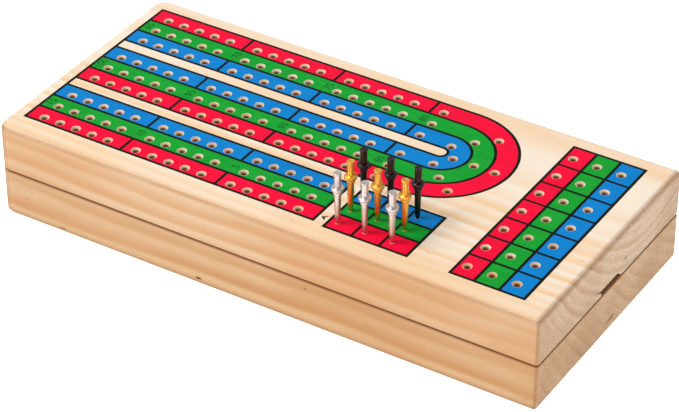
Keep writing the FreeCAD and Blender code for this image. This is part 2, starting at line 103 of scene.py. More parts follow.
def noise(tree, vector, stretch, detail=2.0, roughness=0.5):
    made = addNode(
        tree, "TexNoise",
        {"Vector": vecCalc(tree, "MULTIPLY", vector, stretch), "Scale": 1.0, "Detail": detail,
         "Roughness": roughness},
    )
    return made


def makeGroup(name, inputs, outputs):
    tree = bpy.data.node_groups.new(name, "ShaderNodeTree")
    for label, kind, value in inputs:
        socketType = "NodeSocket" + kind
        socket = tree.interface.new_socket(name=label, in_out="INPUT", socket_type=socketType)
        socket.default_value = value
    for label, kind in outputs:
        tree.interface.new_socket(name=label, in_out="OUTPUT", socket_type="NodeSocket" + kind)
    given = tree.nodes.new("NodeGroupInput").outputs
    result = tree.nodes.new("NodeGroupOutput").inputs
    return tree, given, result


def place(tree):
    # object coordinates in millimetres; the nodes sit at the origin, so these are frame positions
    return vecScale(tree, addNode(tree, "TexCoord").outputs["Object"], 1000.0)


# the shader effects that several materials share, each built once

def makePineGrain():
    # growth rings round a pith line along X, long fibres, resin flecks, open end grain,
    # and painted shade: wood darker inside the holes, along the seam and round the foot
    tree, given, result = makeGroup(
        "pineGrain",
        [("Position", "Vector", (0, 0, 0)), ("Facing", "Vector", (0, 0, 1)),
         ("Pith", "Vector", (0, 0, 0)), ("Ring Spacing", "Float", 4.7), ("Ring Wave", "Float", 3.0),
         ("Ring Strength", "Float", 1.0), ("Fleck Strength", "Float", 0.5),
         ("Pore Strength", "Float", 0.5),
         ("Face Early", "Color", (1, 1, 1, 1)), ("Face Late", "Color", (1, 1, 1, 1)),
         ("Side Early", "Color", (1, 1, 1, 1)), ("Side Late", "Color", (1, 1, 1, 1)),
         ("End Early", "Color", (1, 1, 1, 1)), ("End Late", "Color", (1, 1, 1, 1)),
         ("Resin And Shade", "Color", (0.3, 0.12, 0.04, 1)), ("Heart Line", "Float", -46.0),
         ("Block Middle", "Vector", (0, 0, 0)), ("Block Reach", "Vector", (100, 50, 10)),
         ("Seam Level", "Float", 0.0), ("Foot Shade Level", "Float", -9.0)],
        [("Color", "Color"), ("Roughness", "Float"), ("Height", "Float")],
    )
    spot = given["Position"]
    slow = noise(tree, spot, (0.010, 0.020, 0.020), 1.5).outputs["Color"]
    push = vecScale(tree, vecCalc(tree, "SUBTRACT", slow, (0.5, 0.5, 0.5)), given["Ring Wave"])
    ripple = noise(tree, spot, (0.035, 0.09, 0.09), 1.0).outputs["Color"]
    push = vecCalc(tree, "ADD", push, vecCalc(tree, "SUBTRACT", ripple, (0.5, 0.5, 0.5)))
    across = vecCalc(tree, "SUBTRACT", vecCalc(tree, "ADD", spot, push), given["Pith"])
    radius = vecCalc(tree, "LENGTH", vecCalc(tree, "MULTIPLY", across, (0, 1, 1)))
    rings = calc(tree, "DIVIDE", radius, given["Ring Spacing"])
    ringNumber = calc(tree, "FLOOR", rings)
    ringPart = calc(tree, "FRACT", rings)
    ringNoise = addNode(tree, "TexWhiteNoise", {"W": ringNumber}, noise_dimensions="1D")
    ringTone = ringNoise.outputs["Value"]
    grow = remap(tree, ringPart, 0.05, 0.74)
    stop = remap(tree, ringPart, 0.78, 1.0, 1.0, 0.0)
    late = calc(tree, "MULTIPLY", grow, stop)
    late = calc(tree, "MULTIPLY", late, remap(tree, ringTone, 0, 1, 0.35, 1))
    patchy = noise(tree, spot, (0.012, 0.05, 0.05), 2.0).outputs["Fac"]
    late = calc(tree, "MULTIPLY", late, remap(tree, patchy, 0.3, 0.7, 0.55, 1.15))
    late = calc(tree, "MULTIPLY", late, given["Ring Strength"], clamp=True)

    # which way the surface looks: along the grain is end grain, up or down is a planed face
    places = addNode(tree, "SeparateXYZ", {0: spot}).outputs
    sides = addNode(tree, "SeparateXYZ", {0: vecCalc(tree, "ABSOLUTE", given["Facing"])}).outputs
    endMask = remap(tree, sides["X"], 0.55, 0.95)
    faceMask = remap(tree, sides["Z"], 0.45, 0.95)
    largest = calc(tree, "MAXIMUM", calc(tree, "MAXIMUM", sides["X"], sides["Y"]), sides["Z"])
    edge = remap(tree, largest, 0.99, 0.80)

    early = mixColor(tree, faceMask, given["Side Early"], given["Face Early"])
    early = mixColor(tree, endMask, early, given["End Early"])
    dark = mixColor(tree, faceMask, given["Side Late"], given["Face Late"])
    dark = mixColor(tree, endMask, dark, given["End Late"])
    # browner wood along the front
    heart = calc(tree, "SUBTRACT", given["Heart Line"], places["Y"])
    late = calc(tree, "ADD", late, remap(tree, heart, -5.0, 9.0, 0.0, 0.38), clamp=True)
    color = mixColor(tree, late, early, dark)

    fibre = noise(tree, spot, (0.035, 1.7, 1.7), 4.0, 0.65).outputs["Fac"]
    color = mixColor(tree, remap(tree, fibre, 0.42, 0.78, 0.0, 0.30), color, dark)
    blotch = noise(tree, spot, (0.008, 0.022, 0.022), 2.0).outputs["Fac"]
    color = mixColor(tree, remap(tree, blotch, 0.47, 0.66, 0.0, 0.60), color, dark)
    pore = noise(tree, spot, (0.25, 2.1, 2.1), 3.0, 0.7).outputs["Fac"]
    poreMask = calc(tree, "MULTIPLY", remap(tree, pore, 0.46, 0.70), endMask)
    poreMask = calc(tree, "MULTIPLY", poreMask, given["Pore Strength"])
    color = mixColor(tree, poreMask, color, given["Resin And Shade"])

    cells = addNode(
        tree, "TexVoronoi",
        {"Vector": vecCalc(tree, "MULTIPLY", spot, (0.055, 0.42, 0.42)), "Scale": 1.0,
         "Randomness": 1.0},
    )
    chance = addNode(tree, "SeparateXYZ", {0: cells.outputs["Color"]}).outputs["X"]
    fleck = calc(tree, "MULTIPLY", remap(tree, cells.outputs["Distance"], 0.13, 0.04),
                 remap(tree, chance, 0.72, 0.8))
    fleck = calc(tree, "MULTIPLY", fleck, given["Fleck Strength"])
    color = mixColor(tree, fleck, color, given["Resin And Shade"])

    scuff = noise(tree, spot, (0.12, 0.4, 0.4), 3.0, 0.6).outputs["Fac"]
    wear = calc(tree, "MULTIPLY", edge, remap(tree, scuff, 0.40, 0.68, 0.05, 0.55))
    color = mixColor(tree, wear, color, dark)

    # how far a surface lies inside the block: painted shade darkens the drilled holes and routed
    # wells
    offMiddle = vecCalc(tree, "SUBTRACT", spot, given["Block Middle"])
    inward = vecCalc(tree, "SUBTRACT", given["Block Reach"], vecCalc(tree, "ABSOLUTE", offMiddle))
    depths = addNode(tree, "SeparateXYZ", {0: inward}).outputs
    depth = calc(tree, "MINIMUM", calc(tree, "MINIMUM", depths["X"], depths["Y"]), depths["Z"])
    # painted shade in the recesses, deeper inside the block is browner
    recessShade = remap(tree, depth, 0.2, 1.5, 0.22, 0.80)
    recessShade = calc(tree, "MULTIPLY", recessShade, remap(tree, depth, 0.04, 0.12))
    color = mixColor(tree, recessShade, color, given["Resin And Shade"])
    sideOnly = calc(tree, "SUBTRACT", 1.0, endMask)
    # painted shade between the halves: darker near the seam level on the long sides
    fromSeam = calc(tree, "ABSOLUTE", calc(tree, "SUBTRACT", places["Z"], given["Seam Level"]))
    seamShade = calc(tree, "MULTIPLY", remap(tree, fromSeam, 0.95, 0.40, 0.0, 0.85), sideOnly)
    # painted shade round the foot: browner below the foot level on the long sides
    footShade = calc(tree, "SUBTRACT", given["Foot Shade Level"], places["Z"])
    footShade = calc(tree, "MULTIPLY", remap(tree, footShade, -0.6, 1.8, 0.0, 0.42), sideOnly)
    color = mixColor(tree, calc(tree, "MAXIMUM", seamShade, footShade), color, given["Resin And Shade"])

    plug(tree, color, result["Color"])
    rough = remap(tree, fibre, 0.3, 0.7, 0.46, 0.60)
    rough = calc(tree, "ADD", rough, calc(tree, "MULTIPLY", endMask, 0.14))
    rough = calc(tree, "SUBTRACT", rough, calc(tree, "MULTIPLY", late, 0.08))
    plug(tree, rough, result["Roughness"])
    height = calc(tree, "MULTIPLY", fibre, 0.6)
    height = calc(tree, "ADD", height, calc(tree, "MULTIPLY", late, 0.25))
    height = calc(tree, "SUBTRACT", height, calc(tree, "MULTIPLY", poreMask, 1.2))
    plug(tree, calc(tree, "SUBTRACT", height, fleck), result["Height"])
    return tree


def makeWoodMark():
    # one knot or scratch: an oval stain with a ragged edge
    tree, given, result = makeGroup(
        "woodMark",
        [("Position", "Vector", (0, 0, 0)), ("Color", "Color", (1, 1, 1, 1)),
         ("Stain", "Color", (0.2, 0.1, 0.05, 1)), ("Middle", "Vector", (0, 0, 0)),
         ("Reach", "Vector", (1, 1, 1)), ("Strength", "Float", 0.8)],
        [("Color", "Color")],
    )
    ragged = noise(tree, given["Position"], (0.9, 0.9, 0.9), 2.0).outputs["Color"]
    wander = vecCalc(tree, "SUBTRACT", ragged, (0.5, 0.5, 0.5))
    spot = vecCalc(tree, "ADD", given["Position"], wander)
    away = vecCalc(tree, "DIVIDE", vecCalc(tree, "SUBTRACT", spot, given["Middle"]), given["Reach"])
    mask = remap(tree, vecCalc(tree, "LENGTH", away), 1.0, 0.35)
    mask = calc(tree, "MULTIPLY", mask, given["Strength"])
    plug(tree, mixColor(tree, mask, given["Color"], given["Stain"]), result["Color"])
    return tree


def makePrintedInk():
    # screen ink on planed pine: speckle where it missed, grain showing through, soft mottling
    tree, given, result = makeGroup(
        "printedInk",
        [("Position", "Vector", (0, 0, 0)), ("Ink", "Color", (1, 1, 1, 1)),
         ("Thin Ink", "Color", (1, 1, 1, 1)), ("Speckle", "Float", 0.5),
         ("Grain Show", "Float", 0.3), ("Sheen", "Float", 0.45)],
        [("Color", "Color"), ("Roughness", "Float"), ("Height", "Float")],
    )
    spot = given["Position"]
    dots = noise(tree, spot, (2.3, 2.3, 0.2), 2.0, 0.6).outputs["Fac"]
    speckle = calc(tree, "MULTIPLY", remap(tree, dots, 0.57, 0.74), given["Speckle"])
    fibre = noise(tree, spot, (0.045, 1.9, 0.2), 3.0, 0.6).outputs["Fac"]
    streak = calc(tree, "MULTIPLY", remap(tree, fibre, 0.44, 0.72), given["Grain Show"])
    mottle = noise(tree, spot, (0.06, 0.12, 0.1), 2.0).outputs["Fac"]
    color = mixColor(tree, speckle, given["Ink"], given["Thin Ink"])
    color = mixColor(tree, streak, color, given["Thin Ink"])
    deep = mixColor(tree, 1.0, color, (0.78, 0.78, 0.80, 1), "MULTIPLY")
    color = mixColor(tree, remap(tree, mottle, 0.42, 0.66, 0.0, 0.35), color, deep)
    plug(tree, color, result["Color"])
    rough = calc(tree, "ADD", given["Sheen"], calc(tree, "MULTIPLY", speckle, 0.3))
    plug(tree, rough, result["Roughness"])
    lift = calc(tree, "SUBTRACT", calc(tree, "MULTIPLY", fibre, 0.7), speckle)
    plug(tree, lift, result["Height"])
    return tree


def makeFineLines():
    # machined metal: fine lines whose run is set by Stretch, smudges, and dirt on the dull side
    tree, given, result = makeGroup(
        "fineLines",
        [("Position", "Vector", (0, 0, 0)), ("Stretch", "Vector", (0.05, 0.05, 6.0)),
         ("Metal", "Color", (1, 1, 1, 1)), ("Tarnish", "Color", (0.5, 0.5, 0.5, 1)),
         ("Tarnish Amount", "Float", 0.3), ("Polish", "Float", 0.2), ("Line Depth", "Float", 0.5)],
        [("Color", "Color"), ("Roughness", "Float"), ("Height", "Float")],
    )
    spot = given["Position"]
    lines = addNode(
        tree, "TexNoise",
        {"Vector": vecCalc(tree, "MULTIPLY", spot, given["Stretch"]), "Scale": 1.0, "Detail": 3.0},
    ).outputs["Fac"]
    smudge = noise(tree, spot, (0.35, 0.35, 0.25), 3.0, 0.6).outputs["Fac"]
    dulled = calc(tree, "MULTIPLY", remap(tree, smudge, 0.42, 0.70), given["Tarnish Amount"])
    scored = calc(tree, "MULTIPLY", remap(tree, lines, 0.35, 0.7), given["Line Depth"])
    color = mixColor(tree, dulled, given["Metal"], given["Tarnish"])
    color = mixColor(tree, calc(tree, "MULTIPLY", scored, 0.3), color, given["Tarnish"])
    plug(tree, color, result["Color"])
    rough = calc(tree, "ADD", given["Polish"], calc(tree, "MULTIPLY", dulled, 0.35))
    plug(tree, calc(tree, "ADD", rough, calc(tree, "MULTIPLY", scored, 0.08)), result["Roughness"])
    plug(tree, calc(tree, "MULTIPLY", lines, given["Line Depth"]), result["Height"])
    return tree


pineGrain = makePineGrain()
woodMark = makeWoodMark()
printedInk = makePrintedInk()
fineLines = makeFineLines()
print("shader groups ready")


bumpStrength = 0.6


def makeMaterial(name, group, groupInputs, shaderInputs, bumpDistance, facing=False, stains=()):
    material = bpy.data.materials.new(name)
    material.use_nodes = True
    tree = material.node_tree
    tree.nodes.clear()
    effect = tree.nodes.new("ShaderNodeGroup")
    effect.node_tree = group
    plug(tree, place(tree), effect.inputs["Position"])
    if facing:
        plug(tree, addNode(tree, "TexCoord").outputs["Normal"], effect.inputs["Facing"])
    for key, value in groupInputs.items():
        plug(tree, value, effect.inputs[key])
    color = effect.outputs["Color"]
    for middle, reach, strength, stain in stains:
        mark = tree.nodes.new("ShaderNodeGroup")
        mark.node_tree = woodMark
        given = {"Position": place(tree), "Color": color, "Stain": stain,
                 "Middle": middle, "Reach": reach, "Strength": strength}
        for key, value in given.items():
            plug(tree, value, mark.inputs[key])
        color = mark.outputs["Color"]
    relief = {"Height": effect.outputs["Height"], "Distance": bumpDistance,
              "Strength": bumpStrength}
    bump = addNode(tree, "Bump", relief)
    shader = addNode(
        tree, "BsdfPrincipled",
        {"Base Color": color, "Roughness": effect.outputs["Roughness"],
         "Normal": bump.outputs["Normal"], **shaderInputs},
    )
    addNode(tree, "OutputMaterial", {"Surface": shader.outputs["BSDF"]})
    return material


def dress(nodeNames, material):
    for name in nodeNames:
        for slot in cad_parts[name].material_slots:
            slot.material = material


# the two pine halves

upperPine = {
    "Pith": (0.0, 35.0, 95.0),      # mm in the frame; above the board, so rings sag on the end face
    "Ring Spacing": 4.7,
    "Ring Wave": 5.5,
    "Ring Strength": 1.0,
    "Fleck Strength": 0.45,
    "Pore Strength": 0.7,
    "Face Early": tint(234, 220, 202),
    "Face Late": tint(230, 192, 148),
    "Side Early": tint(222, 200, 168),
    "Side Late": tint(200, 146, 96),
    "End Early": tint(236, 210, 182),
    "End Late": tint(206, 170, 138),
    # dark brown for resin flecks and pores, also the colour of the painted shade in holes, along
    # the seam and round the foot
    "Resin And Shade": tint(142, 88, 46),
}
lowerPine = dict(upperPine)
lowerPine.update({
    "Pith": (0.0, 150.0, 150.0),    # far to the back: the rings cross the end face at a slant
    "Ring Spacing": 5.2,
    "Ring Strength": 0.8,
    "Side Early": tint(213, 184, 146),
    "Side Late": tint(190, 138, 88),
    "End Early": tint(234, 200, 162),
    "End Late": tint(206, 162, 122),
    "Foot Shade Level": 3.0,              # painted shade: browner below this height
})
knotBrown = tint(96, 52, 26)
# each stain: middle and reach in mm, strength, colour
upperStains = [
    ((128.9, 12.1, 28.4), (2.0, 1.5, 1.0), 0.75, knotBrown),
    ((128.2, -59.5, 42.5), (1.4, 1.2, 1.0), 0.7, tint(150, 84, 34)),
]
lowerStains = [
    ((-26.8, -60.0, 3.1), (2.1, 1.5, 0.8), 0.95, tint(62, 36, 18)),
    ((24.6, -60.0, 17.9), (0.9, 1.0, 0.7), 0.6, knotBrown),
    ((-95.2, -60.0, 2.4), (2.4, 1.5, 0.7), 0.55, knotBrown),
    ((128.9, 1.4, 5.3), (2.0, 5.0, 1.6), 0.5, knotBrown),
]


def pineInputs(look, nodeName, seamLevel):
    low, high = (Vector(corner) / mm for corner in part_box(nodeName))
    block = {"Block Middle": (low + high) / 2, "Block Reach": (high - low) / 2}
    return {**look, **block, "Seam Level": seamLevel}


pineShader = {"Specular IOR Level": 0.25}
bumpReach = {"pine": 0.00006, "brass": 0.00003, "polished": 0.00002, "ink": 0.00003}    # m
seamLevel = (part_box("upper_board")[0].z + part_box("lower_board")[1].z) / 2 / mm
for nodeName, look, stains in (
    ("upper_board", upperPine, upperStains),
    ("lower_board", lowerPine, lowerStains),
):
    pine = makeMaterial(
        nodeName + "Pine", pineGrain, pineInputs(look, nodeName, seamLevel), pineShader,
        bumpReach["pine"], facing=True, stains=stains,
    )
    dress([nodeName], pine)
print("pine halves dressed")


# pegs, hinges and magnets

turned = (0.03, 0.03, 5.0)          # rings round an upright peg
polishedShader = {"Metallic": 1.0}
pegLooks = {
    "silver": {"Metal": tint(224, 214, 212), "Tarnish": tint(150, 132, 126), "Tarnish Amount": 0.4,
               "Polish": 0.25, "Line Depth": 0.4, "Stretch": turned},
    "gold": {"Metal": tint(255, 202, 96), "Tarnish": tint(214, 132, 40), "Tarnish Amount": 0.4,
             "Polish": 0.26, "Line Depth": 0.4, "Stretch": turned},
    "black": {"Metal": tint(72, 64, 66), "Tarnish": tint(38, 32, 34), "Tarnish Amount": 0.5,
              "Polish": 0.20, "Line Depth": 0.4, "Stretch": turned},
}
for finish, look in pegLooks.items():
    pegMetal = makeMaterial(finish + "Peg", fineLines, look, polishedShader, bumpReach["polished"])
    dress([f"{finish}_peg_{number}" for number in (1, 2, 3)], pegMetal)

hingeBrass = {"Metal": tint(214, 176, 104), "Tarnish": tint(150, 108, 56), "Tarnish Amount": 0.5,
              "Polish": 0.30, "Line Depth": 0.7, "Stretch": (5.0, 0.06, 5.0)}
screwBrass = dict(hingeBrass, Polish=0.24, Stretch=(1.2, 1.2, 4.0))
magnetNickel = {"Metal": tint(214, 212, 206), "Tarnish": tint(150, 148, 142), "Tarnish Amount": 0.4,
                "Polish": 0.22, "Line Depth": 0.3, "Stretch": (1.5, 1.5, 1.5)}
leafMetal, screwMetal, magnetMetal = [
    makeMaterial(name, fineLines, look, polishedShader, bumpReach[relief])
    for name, look, relief in (
        ("hingeBrass", hingeBrass, "brass"),
        ("screwBrass", screwBrass, "brass"),
        ("magnetNickel", magnetNickel, "polished"),
    )
]
for side in ("front", "back"):
    dress([f"{side}_hinge_lower_leaf", f"{side}_hinge_upper_leaf", f"{side}_hinge_pin"], leafMetal)
    dress([f"{side}_magnet_lower", f"{side}_magnet_upper"], magnetMetal)
dress(["hinge_screws_lower", "hinge_screws_upper"], screwMetal)
print("metal dressed")


# the printed tracks are thin ink films cut round every hole, laid out in mm:
# across is measured from the hinged end, and up is the frame's Y

trackPrint = {
    "lineWidth": 1.3,
    "trackWidth": 9.7,
    "endLine": 6.75,                # first black line, from the hinged end
    "firstDivider": 54.75,
    "dividerPitch": 46.55,
    "backLane": 37.0,
    "middleLane": 1.6,
    "frontLane": -33.8,
    "bareRim": 0.12,                # bare wood left round each hole's mouth
    "proud": 0.03,                  # how far the ink stands above the wood
    "sunk": 0.02,
    "digitHeight": 3.3,
    "digitWeight": -0.012,          # thins the strokes
    "digitShift": 0.4,              # the numbers sit this far off the middle of their line
}
holeSearch = {
    "levelSlack": 0.001,            # mm either side of the printed face
    "rimGap": 0.9,                  # longest step between neighbours round one mouth
    "narrowest": 1.2,
    "widest": 5.0,
}
filmCut = {
    "roundTo": 4,                   # decimals of a millimetre
    "weldReach": 1e-5,
    "leastArea": 1e-7,              # doubled area of the thinnest triangle that is kept
}
upperPrint = {
    "laneEnd": 148.2,               # the front lane stops here, before the starting block
    "turnMiddle": (166.8, 19.3),
    "startBlock": (154.0, 191.9),
    "startRows": (-49.9, -39.6, -29.7, -20.0),
    "gamesColumns": (211.5, 222.0, 233.0, 244.0),
    "gamesTop": 51.3,
    "gamesPitch": 14.49,
    "gamesRows": 7,
    "frontNumbers": ("15", "10", "5"),
    "backNumbers": ("65", "70", "75", "80"),
    "middleNumbers": ("100", "95", "90", "85"),
    "endNumberPlace": 9.5,
    "arrowWidth": 2.6,
    "arrowHeight": 3.6,
    "arrowNotch": 0.3,              # how far the tail is cut in, as a share of half the width
}
lowerPrint = {
    "laneEnd": 191.6,
    "turnMiddle": (194.4, 1.6),
    "finishCell": (191.6, 202.6),
    "finishHalf": 5.6,
    "frontNumbers": ("20", "25", "30", "35"),
    "backNumbers": ("60", "55", "50", "45"),
    "middleNumbers": ("105", "110", "115"),
}
inkLooks = {
    "red": {"Ink": tint(236, 0, 52), "Thin Ink": tint(240, 60, 84),
            "Speckle": 0.35, "Grain Show": 0.10},
    "green": {"Ink": tint(0, 150, 44), "Thin Ink": tint(92, 184, 70),
              "Speckle": 0.55, "Grain Show": 0.14},
    "blue": {"Ink": tint(0, 122, 194), "Thin Ink": tint(50, 148, 206),
             "Speckle": 0.35, "Grain Show": 0.10},
    "black": {"Ink": tint(12, 18, 12), "Thin Ink": tint(56, 54, 40),
              "Speckle": 0.3, "Grain Show": 0.12},
}
inkOrder = list(inkLooks)
trackCount = 3                      # tracks side by side in a lane
half = trackPrint["trackWidth"] * trackCount / 2


def segmentsOf(points):
    loop = np.array(points, float)
    return np.hstack([loop, np.roll(loop, -1, axis=0)])


def rectangle(left, low, right, high):
    return [(left, low), (right, low), (right, high), (left, high)]


def circle(middle, radius, count=26, uneven=0.0):
    turns = [math.tau * step / count for step in range(count)]
    reach = [radius * (1 + rng.uniform(-uneven, uneven)) for _ in turns]
    return [
        (middle[0] + r * math.cos(t), middle[1] + r * math.sin(t))
        for r, t in zip(reach, turns)
    ]


def hairpin(start, middle, radius, steps=72):
    # out along one lane, round the turn and back along the other
    turns = [math.pi / 2 - math.pi * step / steps for step in range(steps + 1)]
    arc = [(middle[0] + radius * math.cos(t), middle[1] + radius * math.sin(t)) for t in turns]
    return [(start, middle[1] + radius)] + arc + [(start, middle[1] - radius)]


def printRectangle(marks, ink, *sides):
    marks.append((ink, segmentsOf(rectangle(*sides))))


def printLine(marks, left, low, right, high):
    # a black line along the middle of a box that has no width one way
    reach = trackPrint["lineWidth"] / 2
    printRectangle(marks, "black", left - reach, low - reach, right + reach, high + reach)


def printTurn(marks, start, middle, colors):
    # three tracks round a turn, colors from the outermost
    width = trackPrint["trackWidth"]
    lane = abs(middle[1] - trackPrint["backLane"])
    radii = [lane + half - width * step for step in range(trackCount + 1)]
    for ink, outer, inner in zip(colors, radii, radii[1:]):
        band = hairpin(start, middle, outer) + hairpin(start, middle, inner)[::-1]
        marks.append((ink, segmentsOf(band)))
    return radii


def printTurnLines(marks, start, middle, radii):
    reach = trackPrint["lineWidth"] / 2
    for radius in radii:
        band = hairpin(start, middle, radius + reach) + hairpin(start, middle, radius - reach)[::-1]
        marks.append(("black", segmentsOf(band)))


def printDividers(marks, lane, count):
    # across the red and blue tracks only; the green one carries the numbers
    width = trackPrint["trackWidth"]
    for step in range(count):
        across = trackPrint["firstDivider"] + trackPrint["dividerPitch"] * step
        printLine(marks, across, lane + width / 2, across, lane + half)
        printLine(marks, across, lane - half, across, lane - width / 2)


def printNumber(marks, text, across, up, facingDown):
    curve = bpy.data.curves.new("number", "FONT")
    curve.body = text
    curve.resolution_u = 3
    curve.offset = trackPrint["digitWeight"]
    holder = bpy.data.objects.new("number", curve)
    mesh = bpy.data.meshes.new_from_object(holder)
    flat = np.array([v.co[:2] for v in mesh.vertices], float)
    uses = {}
    for polygon in mesh.polygons:
        for key in polygon.edge_keys:
            uses[key] = uses.get(key, 0) + 1
    rim = [key for key, count in uses.items() if count == 1]
    low, high = flat.min(axis=0), flat.max(axis=0)
    flat = (flat - (low + high) / 2) * trackPrint["digitHeight"] / (high[1] - low[1])
    turnedUp = flat[:, 1] if facingDown else -flat[:, 1]     # the numbers read along Y
    spots = np.column_stack([across + turnedUp, up + flat[:, 0]])
    marks.append(("black", np.array([[*spots[a], *spots[b]] for a, b in rim])))
    bpy.data.objects.remove(holder)
    bpy.data.curves.remove(curve)
    bpy.data.meshes.remove(mesh)


def laneTracks(marks, lane, right, colors):
    # straight lane, colors from the back track to the front one
    width = trackPrint["trackWidth"]
    for step, ink in enumerate(colors):
        top = lane + half - width * step
        printRectangle(marks, ink, trackPrint["endLine"], top - width, right, top)


def laneLines(marks, lane, right):
    width = trackPrint["trackWidth"]
    for step in range(trackCount + 1):
        level = lane + half - width * step
        printLine(marks, trackPrint["endLine"], level, right, level)
    printLine(marks, right, lane - half, right, lane + half)


def numberLane(marks, lane, numbers, firstPlace, facingDown):
    # every number is level with a divider, or the first one stands beside the end line
    shift = trackPrint["digitShift"]
    skipped = 0 if firstPlace is None else 1
    for step, text in enumerate(numbers):
        across = trackPrint["firstDivider"] + trackPrint["dividerPitch"] * (step - skipped) + shift
        if step < skipped:
            across = firstPlace
        printNumber(marks, text, across, lane + shift, facingDown)


def layOutUpper():
    marks = []
    sizes, block = trackPrint, upperPrint
    width, start, middle = sizes["trackWidth"], sizes["endLine"], block["turnMiddle"]
    back, centre, front = sizes["backLane"], sizes["middleLane"], sizes["frontLane"]
    radii = printTurn(marks, start, middle, ("red", "green", "blue"))
    laneTracks(marks, front, block["laneEnd"], ("blue", "green", "red"))
    left, right = block["startBlock"]
    rows = block["startRows"]
    for ink, low, high in zip(("red", "green", "blue"), rows, rows[1:]):
        printRectangle(marks, ink, left, low, right, high)
    columns = block["gamesColumns"]
    bottom = block["gamesTop"] - block["gamesPitch"] * block["gamesRows"]
    for ink, near, far in zip(("red", "green", "blue"), columns, columns[1:]):
        printRectangle(marks, ink, near, bottom, far, block["gamesTop"])
    # black lines over the colours
    printTurnLines(marks, start, middle, radii)
    laneLines(marks, front, block["laneEnd"])
    printLine(marks, start, front - half, start, back + half)
    printDividers(marks, back, 3)
    printDividers(marks, centre, 3)
    printDividers(marks, front, 2)
    for row in rows:
        printLine(marks, left, row, right, row)
    for step in range(trackCount + 1):
        across = left + (right - left) * step / trackCount
        printLine(marks, across, rows[0], across, rows[-1])
    for column in columns:
        printLine(marks, column, bottom, column, block["gamesTop"])
    for step in range(block["gamesRows"] + 1):
        level = block["gamesTop"] - block["gamesPitch"] * step
        printLine(marks, columns[0], level, columns[-1], level)
    numberLane(marks, front, block["frontNumbers"], block["endNumberPlace"], False)
    numberLane(marks, back, block["backNumbers"], block["endNumberPlace"], False)
    numberLane(marks, centre, block["middleNumbers"], block["endNumberPlace"], False)
    # plain arrows show the way out of the starting block
    gap = (block["laneEnd"] + left) / 2
    wide, tall = block["arrowWidth"] / 2, block["arrowHeight"] / 2
    notch = block["arrowNotch"]
    for low, high in zip(rows, rows[1:]):
        level = (low + high) / 2
        arrow = [(gap - wide, level), (gap + wide, level - tall),
                 (gap + wide * notch, level), (gap + wide, level + tall)]
        marks.append(("black", segmentsOf(arrow)))
    return marks


def layOutLower():
    marks = []
    sizes, block = trackPrint, lowerPrint
    start, middle = sizes["endLine"], block["turnMiddle"]
    back, centre, front = sizes["backLane"], sizes["middleLane"], sizes["frontLane"]
    radii = printTurn(marks, start, middle, ("red", "green", "blue"))
    laneTracks(marks, centre, block["laneEnd"], ("blue", "green", "red"))
    near, far = block["finishCell"]
    cell = (near, centre - block["finishHalf"], far, centre + block["finishHalf"])
    printRectangle(marks, "green", *cell)
    printTurnLines(marks, start, middle, radii)
    laneLines(marks, centre, block["laneEnd"])
    printLine(marks, start, front - half, start, back + half)
    for lane in (back, centre, front):
        printDividers(marks, lane, 3 if lane == centre else 4)
    for low, high in ((cell[1], cell[1]), (cell[3], cell[3])):
        printLine(marks, near, low, far, high)
    printLine(marks, far, cell[1], far, cell[3])
    numberLane(marks, front, block["frontNumbers"], None, True)
    numberLane(marks, back, block["backNumbers"], None, True)
    numberLane(marks, centre, block["middleNumbers"], None, True)
    return marks


def holeMiddles(nodeName, level):
    # every ring of mesh points on the printed face that is the size of a hole's mouth
    slack, rimGap = holeSearch["levelSlack"] * mm, holeSearch["rimGap"] * mm
    narrowest, widest = holeSearch["narrowest"] * mm, holeSearch["widest"] * mm
    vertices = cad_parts[nodeName].data.vertices
    spots = [v.co.copy() for v in vertices if abs(v.co.z - level) < slack]
    tree = KDTree(len(spots))
    for index, spot in enumerate(spots):
        tree.insert(spot, index)
    tree.balance()
    left, found = set(range(len(spots))), []
    while left:
        ring, queue = [], [left.pop()]
        while queue:
            here = queue.pop()
            ring.append(spots[here])
            for _, other, _ in tree.find_range(spots[here], rimGap):
                if other in left:
                    left.remove(other)
                    queue.append(other)
        low = Vector((min(p.x for p in ring), min(p.y for p in ring)))
        high = Vector((max(p.x for p in ring), max(p.y for p in ring)))
        width = (high - low).x
        if narrowest < width < widest:
            found.append(((low + high) / 2, width / 2))
    return found


def insideOutline(points, segments):
    low = np.minimum(segments[:, :2], segments[:, 2:]).min(axis=0)
    high = np.maximum(segments[:, :2], segments[:, 2:]).max(axis=0)
    near = np.flatnonzero(((points >= low) & (points <= high)).all(axis=1))
    across, up = points[near].T
    odd = np.zeros(len(near), bool)
    for x0, y0, x1, y1 in segments:
        if y0 != y1:
            odd ^= ((y0 > up) != (y1 > up)) & (across < x0 + (up - y0) * (x1 - x0) / (y1 - y0))
    inside = np.zeros(len(points), bool)
    inside[near] = odd
    return inside


def cutFilms(marks, holes):
    # one triangulation that has every outline in it, then each triangle takes its ink
    rows = np.vstack([segments for _, segments in marks] + [segmentsOf(hole) for hole in holes])
    ends = np.round(rows.reshape(-1, 2), filmCut["roundTo"])
    spots, index = np.unique(ends, axis=0, return_inverse=True)
    pairs = {tuple(sorted(pair)) for pair in index.reshape(-1, 2).tolist() if pair[0] != pair[1]}
    points = [Vector(spot) for spot in spots]
    made = delaunay_2d_cdt(points, sorted(pairs), [], 0, filmCut["weldReach"])
    corners = np.array([tuple(spot) for spot in made[0]], float)
    triangles = np.array([face for face in made[2] if len(face) == 3], int)
    middles = corners[triangles].mean(axis=1)
    inkOf = np.full(len(triangles), -1)
    for ink, segments in marks:
        inkOf[insideOutline(middles, segments)] = inkOrder.index(ink)
    for hole in holes:
        inkOf[insideOutline(middles, segmentsOf(hole))] = -1
    return corners, triangles, inkOf


